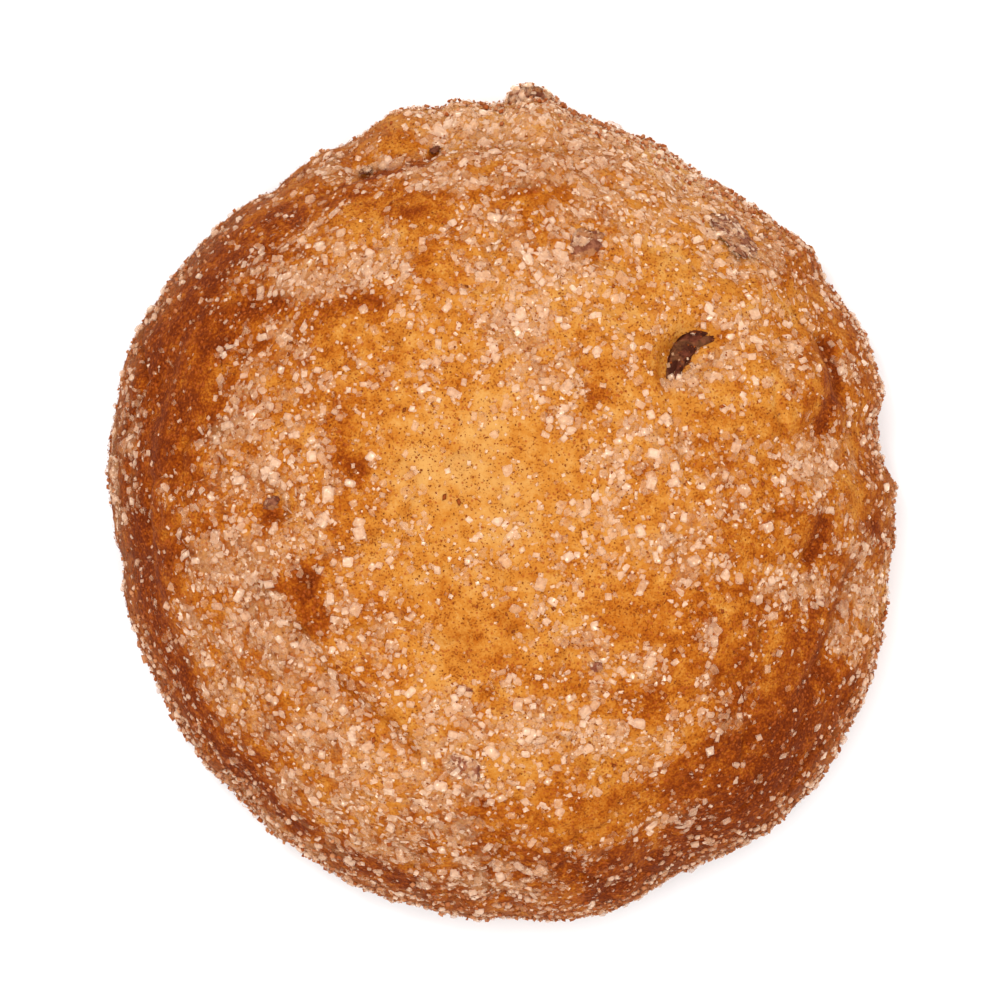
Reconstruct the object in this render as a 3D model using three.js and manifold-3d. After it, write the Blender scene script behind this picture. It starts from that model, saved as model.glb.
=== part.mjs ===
// Pecan snowball cookie: a hand-rolled ball of dough that settled to a thick, flat-topped round as it baked,
// rolled in coarse sugar and cinnamon, with chopped pecans at its surface.
// Millimetres. The origin is under the middle of the cookie, on the plane that it rests on, and +Z is up.
// +X is the right and +Y the far side of the cookie as it is seen from straight above.

import * as THREE from 'three';
import { mergeVertices } from 'three/addons/utils/BufferGeometryUtils.js';
import Module from 'manifold-3d';

const wasm = await Module();
wasm.setup();

// Driving sizes

const HEIGHT = 20;
const MEAN_RADIUS = 22;
const WIDEST_Z = 4.6;
const BASE_RADIUS = 17.6;
const TOP_ROUNDNESS = 2.7;
const SIDE_ROUNDNESS = 1.9;

// Rim radius at every 15 degrees, counter-clockwise from the right
const RIM_RADII = [
  21.8, 22.0, 21.9, 21.7, 21.1, 21.7, 22.1, 21.9, 21.5, 21.9, 22.1, 22.3,
  21.9, 21.6, 21.7, 22.1, 22.5, 22.8, 22.9, 23.2, 22.9, 23.4, 22.9, 22.1,
];
const RIM_STEP = 360 / RIM_RADII.length;
const NOTCH = { angle: 8.5, halfWidth: 7, depth: 0.6 };

// The cap ends in a ledge over a lower, wider skirt. It stands out most at the far side and at the right
const LEDGE_RADIUS = 19.4;
const LEDGE_SOFTNESS = 0.5;
const SKIRT_FADE = 2.5;
const STRETCH_EDGE = 0.6;
const LEDGES = [
  { angle: 100, halfWidth: 26, depth: 2.3 },
  { angle: 20, halfWidth: 11, depth: 1.2 },
  { angle: -21, halfWidth: 15, depth: 1.4 },
  { angle: 176, halfWidth: 34, depth: 0.7 },
];

// Hollows and swellings of the cap: middle, reach and height above the plain dome
const SWELLINGS = [
  { x: 10.4, y: 8.2, reach: 1.7, height: -0.8 },
  { x: -12.6, y: -0.2, reach: 1.1, height: -0.5 },
  { x: 16.6, y: 6.6, reach: 1.8, height: 0.5 },
  { x: 16.8, y: -1.2, reach: 2.0, height: 0.5 },
  { x: -2.0, y: 3.0, reach: 7.0, height: 0.4 },
  { x: -5.4, y: 20.6, reach: 1.7, height: 0.5 },
  { x: 11.5, y: -9.5, reach: 4.5, height: 0.4 },
];

// A bent crease in the near left of the cap
const CREASE = [[-11.4, -7.6], [-9.8, -10.2], [-6.9, -12.3], [-5.2, -13.8]];
const CREASE_REACH = 0.9;
const CREASE_DEPTH = 0.6;

// Soft unevenness of the whole crust
const LUMP_COUNT = 160;
const LUMP_REACH = [1.4, 4.2];
const LUMP_HEIGHT = 0.4;
const RIM_CALM = 0.25;

// Chopped pecans at the surface: middle seen from above, half sizes, turn in degrees, and how far they stand out
const PECANS = [
  { x: 10.3, y: 8.1, size: [1.3, 0.6, 0.6], turn: 40, proud: 0.1 },
  { x: 4.9, y: 14.1, size: [1.4, 0.9, 0.7], turn: -20, proud: 0.3 },
  { x: 12.8, y: 14.9, size: [1.7, 0.7, 0.7], turn: -45, proud: 0.35 },
  { x: -2.3, y: -14.4, size: [1.5, 0.8, 0.7], turn: -50, proud: 0.25 },
  { x: -12.7, y: -0.2, size: [0.7, 0.6, 0.5], turn: 10, proud: 0.1 },
  { x: -7.4, y: 18.5, size: [0.8, 0.5, 0.5], turn: 15, proud: 0.3 },
  { x: -3.6, y: 19.5, size: [0.7, 0.5, 0.5], turn: 40, proud: 0.3 },
  { x: 5.2, y: -9.3, size: [0.7, 0.5, 0.5], turn: 0, proud: 0.25 },
];
const RIM_PECAN = { angle: 86, size: [1.9, 1.3, 1.5], z: 6.4, proud: 1.2 };

// Coarse sugar: the largest crystals stand out of the crust as blocks of their own
const SUGAR_COUNT = 180;
const SUGAR_SIZE = [0.65, 0.9];
const SUGAR_THINNEST = 0.7;
const SUGAR_SPACING = 1.9;
const SUGAR_PROUD = 0.1;
const SUGAR_LOWEST_Z = 2.2;
const SUGAR_LOWEST_RISE = -0.12;

// Where the sugar lies thick: middle and reach
const DRIFTS = [
  { x: -11.8, y: 12.6, reach: 3.2 },
  { x: -12.4, y: 2.0, reach: 4.6 },
  { x: -13.0, y: -6.4, reach: 4.8 },
  { x: -7.5, y: -15.0, reach: 5.2 },
  { x: 3.2, y: 12.0, reach: 5.4 },
  { x: 9.5, y: 6.4, reach: 4.0 },
  { x: 7.0, y: -2.2, reach: 4.6 },
  { x: 3.4, y: -12.8, reach: 4.2 },
  { x: 17.6, y: 2.4, reach: 2.2 },
  { x: 15.4, y: -5.2, reach: 2.6 },
  { x: 1.8, y: 20.4, reach: 5.6 },
  { x: 11.0, y: 16.6, reach: 3.6 },
  { x: 19.6, y: -6.8, reach: 2.6 },
];
const BARE_SHARE = 0.22;

// How finely the crust is divided
const AROUND = 76;
const RINGS = 31;
const JOIN_WITHIN = 1e-4;

const COOKIE_COLOUR = 0xc98443;
const SEED = 20;

const smooth = (t) => {
  const c = THREE.MathUtils.clamp(t, 0, 1);
  return c * c * (3 - 2 * c);
};

const bell = (distance, reach) => Math.exp(-((distance / reach) ** 2));

// Seeded draws, the same at every build
function seededDraws(seed) {
  let state = seed;
  return (low = 0, high = 1) => {
    state = (state * 1664525 + 1013904223) % 4294967296;
    return low + (high - low) * (state / 4294967296);
  };
}

// The smaller angle between two directions, in degrees
function turnBetween(a, b) {
  const turn = THREE.MathUtils.euclideanModulo(a - b, 360);
  return Math.min(turn, 360 - turn);
}

// How strongly an angle lies inside a stretch of the rim, from 0 to 1
function within(angle, stretch) {
  const inside = 1 - turnBetween(angle, stretch.angle) / stretch.halfWidth;
  return smooth(inside / STRETCH_EDGE);
}

// Rim radius at any angle: a smooth closed curve through the named radii, with the notch taken out
function rimRadius(angle) {
  const place = THREE.MathUtils.euclideanModulo(angle, 360) / RIM_STEP;
  const first = Math.floor(place);
  const t = place - first;
  const [a, b, c, d] = [-1, 0, 1, 2].map(
    (k) => RIM_RADII[(first + k + RIM_RADII.length) % RIM_RADII.length],
  );
  const curve = b + 0.5 * t * (c - a + t * (2 * a - 5 * b + 4 * c - d + t * (3 * (b - c) + d - a)));
  return curve - NOTCH.depth * within(angle, NOTCH);
}

// The crust in section, from the middle of the top over the rim to the edge of the base
class CrustSection extends THREE.Curve {
  getPoint(t, target = new THREE.Vector2()) {
    const turn = Math.PI * t;
    if (turn < Math.PI / 2) {
      const out = Math.sin(turn) ** (2 / TOP_ROUNDNESS);
      const rise = Math.cos(turn) ** (2 / SIDE_ROUNDNESS);
      return target.set(MEAN_RADIUS * out, WIDEST_Z + (HEIGHT - WIDEST_Z) * rise);
    }
    const under = MEAN_RADIUS - BASE_RADIUS;
    return target.set(BASE_RADIUS + under * Math.sin(turn), WIDEST_Z * (1 + Math.cos(turn)));
  }
}

const crustSection = new CrustSection();

// The section's rings, evenly spaced, from the middle of the base up to the middle of the top
function sectionRings() {
  const rings = [];
  for (let i = 0; i <= RINGS; i += 1) {
    const { x, y } = crustSection.getPointAt(i / RINGS);
    const along = crustSection.getTangentAt(i / RINGS);
    rings.push({ radius: x, z: y, outward: -along.y, upward: along.x });
  }
  Object.assign(rings[0], { outward: 0, upward: 1 });
  rings.push({ radius: 0, z: 0, outward: 0, upward: -1 });
  return rings.reverse();
}

function distanceToPath(x, y, path) {
  const point = new THREE.Vector3(x, y, 0);
  const nearest = new THREE.Vector3();
  let shortest = Infinity;
  for (let i = 1; i < path.length; i += 1) {
    const start = new THREE.Vector3(...path[i - 1], 0);
    const end = new THREE.Vector3(...path[i], 0);
    new THREE.Line3(start, end).closestPointToPoint(point, true, nearest);
    shortest = Math.min(shortest, nearest.distanceTo(point));
  }
  return shortest;
}

function makeLumps(draw) {
  const lumps = [];
  for (let i = 0; i < LUMP_COUNT; i += 1) {
    const turn = draw(0, 2 * Math.PI);
    const { x, y } = crustSection.getPointAt(Math.sqrt(draw()));
    lumps.push({
      at: new THREE.Vector3(x * Math.cos(turn), x * Math.sin(turn), y),
      reach: draw(...LUMP_REACH),
      height: draw(-LUMP_HEIGHT, LUMP_HEIGHT),
    });
  }
  return lumps;
}

// How far the crust stands above the plain dome, at a point of that dome. It is calmer on the steep rim
function crustRelief(point, upward, lumps) {
  const calm = THREE.MathUtils.lerp(RIM_CALM, 1, upward ** 2);
  let height = -CREASE_DEPTH * bell(distanceToPath(point.x, point.y, CREASE), CREASE_REACH);
  for (const s of SWELLINGS) {
    height += s.height * bell(Math.hypot(point.x - s.x, point.y - s.y), s.reach);
  }
  for (const lump of lumps) {
    height += calm * lump.height * bell(point.distanceTo(lump.at), lump.reach);
  }
  return height;
}

// How far the skirt lies below the dome, outside the ledge
function skirtDrop(radius, angle) {
  const over = smooth((radius - LEDGE_RADIUS + LEDGE_SOFTNESS) / (2 * LEDGE_SOFTNESS));
  const fade = 1 - smooth((radius - LEDGE_RADIUS - LEDGE_SOFTNESS) / SKIRT_FADE);
  const depth = LEDGES.reduce((sum, ledge) => sum + ledge.depth * within(angle, ledge), 0);
  return depth * over * fade;
}

// The dough: the section turned about the axis, then drawn out to the rim and given its relief
function doughGeometry(lumps) {
  const rings = sectionRings();
  const profile = rings.map((ring) => new THREE.Vector2(ring.radius, ring.z));
  const geometry = new THREE.LatheGeometry(profile, AROUND).rotateX(Math.PI / 2);
  const position = geometry.attributes.position;
  const point = new THREE.Vector3();
  for (let i = 0; i < position.count; i += 1) {
    point.fromBufferAttribute(position, i);
    const ring = rings[i % rings.length];
    const turn = Math.atan2(point.y, point.x);
    const angle = THREE.MathUtils.radToDeg(turn);
    const radius = (ring.radius / MEAN_RADIUS) * rimRadius(angle);
    point.set(radius * Math.cos(turn), radius * Math.sin(turn), ring.z);
    const clearOfBase = smooth(ring.z / WIDEST_Z);
    const relief = clearOfBase * crustRelief(point, ring.upward, lumps);
    point.x += relief * ring.outward * Math.cos(turn);
    point.y += relief * ring.outward * Math.sin(turn);
    point.z += relief * ring.upward - clearOfBase * skirtDrop(radius, angle);
    position.setXYZ(i, point.x, point.y, point.z);
  }
  return geometry;
}

// A closed solid from a geometry: shared corners are joined, and faces with no area are dropped
function solidOf(geometry) {
  geometry.deleteAttribute('normal');
  geometry.deleteAttribute('uv');
  const merged = mergeVertices(geometry, JOIN_WITHIN);
  const index = merged.index.array;
  const faces = [];
  for (let i = 0; i < index.length; i += 3) {
    const [a, b, c] = [index[i], index[i + 1], index[i + 2]];
    if (a !== b && b !== c && c !== a) faces.push(a, b, c);
  }
  const mesh = new wasm.Mesh({
    numProp: 3,
    vertProperties: new Float32Array(merged.attributes.position.array),
    triVerts: new Uint32Array(faces),
  });
  return new wasm.Manifold(mesh);
}

function geometryOf(solid) {
  const { vertProperties, triVerts } = solid.getMesh();
  const geometry = new THREE.BufferGeometry();
  geometry.setAttribute('position', new THREE.BufferAttribute(vertProperties, 3));
  geometry.setIndex(new THREE.BufferAttribute(triVerts, 1));
  return geometry;
}

// Finds where a line meets the dough, and the way that the crust faces there
function crustFinder(geometry) {
  const mesh = new THREE.Mesh(geometry, new THREE.MeshStandardMaterial({ side: THREE.DoubleSide }));
  const caster = new THREE.Raycaster();
  return (start, direction) => {
    caster.set(start, direction);
    const hit = caster.intersectObject(mesh)[0];
    return { at: hit.point, facing: hit.face.normal.clone() };
  };
}

const DOWN = new THREE.Vector3(0, 0, -1);
const fromAbove = (x, y) => new THREE.Vector3(x, y, 2 * HEIGHT);

// A chopped piece of nut: a faceted lump, longer than it is wide
function nutGeometry(size, turn) {
  const nut = new THREE.IcosahedronGeometry(1, 1);
  nut.scale(...size);
  return nut.rotateZ(THREE.MathUtils.degToRad(turn));
}

function pecanSolids(findCrust) {
  const pieces = PECANS.map(({ x, y, size, turn, proud }) => {
    const { at } = findCrust(fromAbove(x, y), DOWN);
    return nutGeometry(size, turn).translate(x, y, at.z + proud - size[2]);
  });
  const { angle, size, z, proud } = RIM_PECAN;
  const out = rimRadius(angle) + proud - size[1];
  const turn = THREE.MathUtils.degToRad(angle);
  pieces.push(nutGeometry(size, angle - 90).translate(out * Math.cos(turn), out * Math.sin(turn), z));
  return pieces.map(solidOf);
}

// How likely a coarse crystal is at a place: most in the drifts, fewer on the bare, browned crust
function sugarShare(point) {
  const inDrifts = DRIFTS.map((d) => bell(Math.hypot(point.x - d.x, point.y - d.y), d.reach));
  return BARE_SHARE + (1 - BARE_SHARE) * Math.min(1, Math.max(...inDrifts));
}

// A sugar crystal: an uneven block, turned any way, sunk in the crust by about a third
function crystalSolid(at, facing, draw) {
  const size = draw(...SUGAR_SIZE);
  const block = new THREE.BoxGeometry(size, size * draw(SUGAR_THINNEST, 1), size * draw(SUGAR_THINNEST, 1));
  block.rotateX(draw(0, Math.PI)).rotateY(draw(0, Math.PI)).rotateZ(draw(0, Math.PI));
  const centre = at.clone().addScaledVector(facing, SUGAR_PROUD);
  return solidOf(block.translate(centre.x, centre.y, centre.z));
}

// Crystals are scattered by lines from the cookie's core, and keep a distance from each other
function sugarSolids(findCrust, draw) {
  const core = new THREE.Vector3(0, 0, WIDEST_Z);
  const placed = [];
  const crystals = [];
  while (crystals.length < SUGAR_COUNT) {
    const turn = draw(0, 2 * Math.PI);
    const rise = draw(SUGAR_LOWEST_RISE, 1);
    const across = Math.sqrt(1 - rise * rise) * MEAN_RADIUS;
    const away = new THREE.Vector3(across * Math.cos(turn), across * Math.sin(turn), rise * HEIGHT);
    const { at, facing } = findCrust(core, away.normalize());
    const clear = placed.every((p) => p.distanceTo(at) > SUGAR_SPACING);
    if (clear && at.z > SUGAR_LOWEST_Z && draw() < sugarShare(at)) {
      placed.push(at);
      crystals.push(crystalSolid(at, facing, draw));
    }
  }
  return crystals;
}

function cookieGeometry() {
  const draw = seededDraws(SEED);
  const dough = doughGeometry(makeLumps(draw));
  const findCrust = crustFinder(dough.clone());
  const toppings = [...pecanSolids(findCrust), ...sugarSolids(findCrust, draw)];
  const cookie = toppings.reduce((whole, piece) => whole.add(piece), solidOf(dough));
  const geometry = geometryOf(cookie);
  geometry.computeBoundingBox();
  const middle = geometry.boundingBox.getCenter(new THREE.Vector3());
  return geometry.translate(-middle.x, -middle.y, -geometry.boundingBox.min.z);
}

const cookie = new THREE.Mesh(
  cookieGeometry(),
  new THREE.MeshStandardMaterial({ color: COOKIE_COLOUR, roughness: 0.85, metalness: 0 }),
);
cookie.name = 'cookie';

const group = new THREE.Group();
group.add(cookie);

export default group;
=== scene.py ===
import math
from itertools import product

import bmesh
import bpy
import numpy as np
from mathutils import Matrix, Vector, noise


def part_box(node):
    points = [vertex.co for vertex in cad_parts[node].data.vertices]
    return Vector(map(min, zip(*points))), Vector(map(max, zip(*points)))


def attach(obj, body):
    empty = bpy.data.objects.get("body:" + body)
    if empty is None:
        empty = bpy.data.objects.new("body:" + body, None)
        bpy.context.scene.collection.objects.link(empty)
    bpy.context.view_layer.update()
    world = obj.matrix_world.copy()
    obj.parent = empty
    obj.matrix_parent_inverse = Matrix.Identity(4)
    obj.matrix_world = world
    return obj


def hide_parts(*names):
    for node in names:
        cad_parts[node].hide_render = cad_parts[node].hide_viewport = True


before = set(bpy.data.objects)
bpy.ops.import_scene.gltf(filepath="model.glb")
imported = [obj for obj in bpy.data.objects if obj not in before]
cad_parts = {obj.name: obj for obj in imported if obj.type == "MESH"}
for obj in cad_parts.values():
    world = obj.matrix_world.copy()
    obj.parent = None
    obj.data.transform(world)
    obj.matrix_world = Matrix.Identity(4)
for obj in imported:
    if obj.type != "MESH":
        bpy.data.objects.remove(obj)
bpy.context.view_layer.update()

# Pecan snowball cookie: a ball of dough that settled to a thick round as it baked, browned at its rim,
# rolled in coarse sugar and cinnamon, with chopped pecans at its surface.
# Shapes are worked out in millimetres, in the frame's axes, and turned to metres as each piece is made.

COOKIE_LOW, COOKIE_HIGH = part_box("cookie")

# Sizes of the dough. The frame gives the width, and so the length of a design millimetre
DESIGN_WIDTH = 44.51
MM = (COOKIE_HIGH.x - COOKIE_LOW.x) / DESIGN_WIDTH
HEIGHT = 20.0
MEAN_RADIUS = 22.0
WIDEST_Z = 4.6
BASE_RADIUS = 17.6
TOP_ROUNDNESS = 2.7
SIDE_ROUNDNESS = 1.9
OFF_CENTRE = np.array([-0.06, 0.19, 0.0])
SECTION_STEPS = 4000
BASE_STEPS = 200

# Rim radius at every 15 degrees, counter-clockwise from the right
RIM_RADII = np.array([
    21.8, 22.0, 21.9, 21.7, 21.1, 21.7, 22.1, 21.9, 21.5, 21.9, 22.1, 22.3,
    21.9, 21.6, 21.7, 22.1, 22.5, 22.8, 22.9, 23.2, 22.9, 23.4, 22.9, 22.1,
])

# A dent of the rim, and where the dough is drawn out over the nut in it: angle, half width in degrees, size
NOTCH = (8.5, 7.0, 0.6)
NUT_BULGE = (85.7, 7.5, 0.7)

# How far the baked rim departs from that even curve, at every 3 degrees, in hundredths of a millimetre
RIM_DETAIL = np.array([
    0, 8, 0, -20, -20, -5, 0, 15, 25, 10, -5, -15, -7, 42, 2, -12, -20, -22, -10, -20,
    -18, 2, 5, 2, -14, -20, 5, -25, 2, -22, -70, -25, 10, -30, -24, -8, -10, -10, -12, 20,
    12, -12, -40, -12, -5, -8, -12, -10, -10, 2, -5, 12, 18, -10, -8, -24, -30, -22, -18, -16,
    -20, -30, -25, -40, -14, 5, 12, 6, 2, -5, 6, 12, 5, 2, 12, -5, -16, -6, 4, 8,
    10, 2, 7, 24, 18, 18, 6, 20, 30, 44, 22, 25, 42, 50, 45, 48, 44, 4, 0, 8,
    22, 33, 43, 42, 28, 7, 16, 4, -6, -10, -2, 8, 4, 12, -3, -2, -15, -10, -2, -5,
]) / 100

# The cap's ledge over the wider skirt: angle, half width in degrees, depth
LEDGE_RADIUS = 19.4
LEDGE_SOFTNESS = 0.22
SKIRT_FADE = 2.5
STRETCH_EDGE = 0.6
LEDGES = [(100, 26, 2.3), (20, 11, 1.2), (-21, 15, 1.4), (176, 34, 0.7)]

# Hollows and swellings of the cap: reach, height, then the points of the line it follows
SWELLINGS = [
    (1.7, -0.8, (10.4, 8.2)), (1.1, -0.5, (-12.6, -0.2)), (1.8, 0.5, (16.6, 6.6)), (2, 0.5, (16.8, -1.2)),
    (7, 0.4, (-2, 3)), (1.7, 0.5, (-5.4, 20.6)), (4.5, 0.4, (11.5, -9.5)),
]

# Furrows of the crust: reach, depth, how much painted shade darkens them in the browning, then the points of
# the line
FURROWS = [
    (0.7, 0.6, 0, (-11.4, -7.6), (-9.8, -10.2), (-6.9, -12.3), (-5.2, -13.8)),
    (0.5, 0.3, 0.5, (17.8, 8.6), (18.2, 7.3), (18.3, 6.2), (18.1, 5.2), (17.5, 4)),
    (0.45, 0.3, 0.4, (17.7, -0.9), (17.4, -2.1), (16.7, -3.2)),
    (0.6, 0.5, 0.08, (11.8, 9.3), (10.5, 9.3), (9.5, 8.5), (9.2, 7.2)),
    (0.22, 0.3, 0.35, (-7.6, 18), (-5.6, 18.5), (-4.2, 18.8), (-3.6, 19.4)),
]

# Soft unevenness of the whole crust
LUMP_COUNT = 160
LUMP_REACH = (1.4, 4.2)
LUMP_HEIGHT = 0.4
RIM_CALM = 0.25
LUMP_SEED = 20
DRAW_FACTOR, DRAW_STEP, DRAW_RANGE = 1664525, 1013904223, 4294967296

# Fine relief that the solid leaves out: the crumb's sizes, octaves, heights and shifts, pores and cracks
CRUMB = [(1.5, 3, 0.10, 0), (0.5, 3, 0.05, 0)]
PORE_COUNT = 260
PORE_REACH = (0.18, 0.5)
PORE_DEPTH = (0.1, 0.4)
CRACK_SIZE = 5.0
CRACK_SHARPNESS = 6
CRACK_DEPTH = 0.3
CRACKED_AREA = 9.0

# Panels along a side of the dough's mesh, and how dense they are at the base
PANELS = 124
BASE_SHARE = 0.3
SEED = 7

# Chopped pecans: x, y, half sizes, turn in degrees, how far they stand out, how much they curl, how dark
PECANS = [
    (10.2, 8.2, (2.3, 0.64, 0.6), 46, 0.34, 0.22, 1.0), (4.7, 14.0, (1.4, 0.9, 0.7), 20, 0.05, 0.0, 0.45),
    (12.9, 14.6, (1.4, 0.65, 0.6), -50, 0.08, 0.0, 0.4), (-2.1, -14.7, (1.4, 0.8, 0.7), -40, 0.1, 0.1, 0.2),
    (-12.7, -0.2, (0.6, 0.5, 0.5), 10, 0.05, 0.0, 0.5), (-7.5, 18.2, (0.36, 0.18, 0.2), 20, 0.12, 0.0, 0.7),
    (-3.7, 19.4, (0.32, 0.2, 0.2), 40, 0.12, 0.0, 0.7), (5.2, -9.2, (0.4, 0.34, 0.3), 0, 0.05, 0.0, 0.1),
    (-2.0, -10.4, (0.42, 0.13, 0.15), -20, 0.08, 0.2, 0.3),
]
# The one in the rim: angle, half sizes, height, how far it stands out, how dark
RIM_PECAN = (85.7, (1.35, 1.0, 1.3), 6.0, 0.35, 0.55)
# Unevenness of a nut, to its half size: size, octaves, height, shift from nut to nut
NUT_RELIEF = [(0.8, 3, 0.35, 7.3), (0.25, 2, 0.15, 1)]

# Browning from 0 to 1. Where it rises, and over how far, are shares of the radius
MIDDLE_BAKE = 0.27
DOME_BAKE, DOME_RISE = 0.22, (0.1, 0.9)
EDGE_BAKE, EDGE_RISE = 0.1, (0.86, 0.16)
BASE_BAKE, BASE_REACH = 0.3, 2.0
UNEVEN_BAKE, UNEVEN_SIZE = 0.12, 4.0

# Where the crust is browned, or left pale with a minus: reach, strength, then the points of the line
BROWNING = [
    (2, 0.26, (-14.6, 14.3), (-16.5, 12.1), (-18.4, 9.3), (-17.8, 6.5), (-17.8, 2)),
    (1.6, 0.2, (-19.8, 4.6), (-20.2, 1), (-20, -3)), (4.5, 0.12, (-15.5, 4), (-15.5, -4)),
    (1, 0.3, (-16, 9), (-13.5, 11.1), (-9, 10.7), (-7, 11)),
    (1.1, 0.22, (-13.2, 14.6), (-11.8, 16.2), (-8, 16.7), (-4.5, 16.2), (-3.2, 15.3)),
    (1.2, 0.1, (0.5, 17.2)), (0.9, 0.35, (-9.3, 4.3), (-8.8, 2.6), (-8, 1.3)), (0.5, 0.25, (-2.9, 3.1)),
    (0.6, 0.25, (-2.4, 6.4)), (1.2, 0.1, (17.4, 14), (18.6, 12), (19.8, 9.4), (20.4, 6), (21, 3.6)),
    (1.1, 0.25, (5.3, 6.4)), (0.6, 0.25, (7.6, 1.8)), (1.2, 0.12, (12.8, 3.4)),
    (1.6, -0.15, (3.2, 11.1), (6.7, 10.1)), (3.4, -0.12, (8.5, 15), (13, 11), (15.5, 6)),
    (0.9, -0.12, (-8, -19)), (2.4, -0.1, (-2, 13.5), (2.5, 12)),
    (0.9, 0.25, (-19.6, -4), (-18.7, -8.4), (-16.9, -11.6), (-14.2, -15)),
    (0.6, 0.25, (-14.2, -15), (-11.4, -17.8), (-8.8, -19.5), (-4.7, -21)), (1.2, 0.2, (-18.4, -2.9)),
    (0.9, 0.38, (-10.9, -4.3), (-10.4, -6.4)), (0.6, 0.3, (-12.9, -4.7)), (0.7, 0.4, (-12.8, -0.7)),
    (1.2, 0.2, (-7.9, -10.2)), (0.7, 0.2, (-9.3, -3)), (1.9, 0.08, (-1.3, -6.7), (-1.3, -9)),
    (1, 0.22, (-1.5, -18.7), (0.8, -19.6), (4.6, -20.3)), (0.6, 0.25, (-1.1, -16.4)),
    (0.5, 0.3, (-12.8, -12.5)),
    (2.2, 0.25, (18.8, -4.6), (18, -7.1), (17.3, -10.1), (15.8, -12.6), (14.2, -15.1), (11.8, -17.4)),
    (1.5, 0.22, (16.3, -11.8), (15, -14.2)), (1.3, 0.2, (11.8, -17.4), (9, -19.3), (6, -21)),
    (1.5, 0.2, (13.2, -10.1), (12.5, -12.9), (10.8, -14.9), (8.3, -15.6)), (1.2, 0.28, (8.3, -11)),
    (1.1, 0.28, (10.4, -8.2), (11, -6.5)), (1.1, 0.2, (13.9, -2.4)), (1.3, 0.15, (13.6, -6.4)),
    (3.4, -0.22, (-1.6, 2.2)), (2, -0.1, (0.5, -2.5), (3, -4.5)), (1.5, 0.12, (5, -4.5)),
    (1.6, -0.06, (-4.5, 5.5)), (1.8, -0.2, (1.8, 21.5), (-4, 20.6)),
    (1.9, -0.12, (-8, -14.5), (1, -14), (8, -13.6)), (1.5, -0.1, (-6, -7), (-3.5, -9.5)),
    (1.2, -0.2, (20.4, -5), (19.2, -8)), (1.3, 0.2, (16.2, -0.3), (17.4, -2.3)),
    (1.4, 0.12, (-19.5, 9), (-19.8, 5.5)), (1.5, 0.06, (-15.5, 8.5), (-12.5, 8)),
    (0.7, 0.15, (-21.3, 4.5), (-21.4, 0.2)), (1.2, 0.08, (10.8, -5.6), (12, -8)),
    (0.9, 0.1, (6.5, -10.9), (12, -11.1)), (0.7, 0.15, (-7.3, -12), (-1.8, -15.9)), (0.8, 0.12, (5, -21.3)),
    (1.2, 0.1, (-15.2, 8.6)), (0.8, 0.2, (1.3, 21.6), (3.2, 21.9)), (1.3, 0.28, (4.4, 13.8)),
    (1, 0.08, (4.6, 16.4), (6.2, 15.6)), (1.4, 0.1, (13.5, 8.2), (16, 6.5)), (0.8, 0.2, (20.3, -1.5)),
    (0.8, 0.12, (-10.3, 0), (-5.8, 0.4)), (1.2, 0.08, (-2.5, 5.4)), (1.2, 0.08, (8.2, 1.6), (8.4, -0.8)),
    (1, 0.12, (-12.8, -6.5), (-10.9, -9.6)), (1, 0.12, (-10.2, 13.1)), (1.2, 0.08, (4, -4.9)),
    (0.9, 0.08, (-18.8, -2.9), (-15.6, -3.8)), (1, -0.15, (3.2, 22.2), (6.5, 21), (11, 18.7)),
    (1.1, -0.1, (14.6, 16.2), (16, 15)), (1.2, -0.08, (1, 11.2)), (0.8, -0.1, (4.9, 6.8)),
    (1, -0.1, (16.5, -3.8), (19, -4.4)), (3, -0.08, (8, 15), (12, 11.5), (15, 8.5)),
    (1.6, -0.08, (-8, 15.8), (-3.5, 15.2)), (1.4, -0.15, (8.5, 18.5), (10.5, 17.2)),
    (1.4, -0.06, (12.5, 8.5), (15.5, 10.5)), (1.2, -0.08, (-4.5, -7.5)), (1.5, -0.08, (-1, -14), (1.5, -15)),
    (1.3, -0.1, (9.5, -13.5)), (0.8, -0.15, (20.8, -2.5), (20.8, -7.5)), (1.2, -0.08, (12.1, 2.2)),
    (1.2, -0.08, (-10.2, -18.5)),
]

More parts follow.
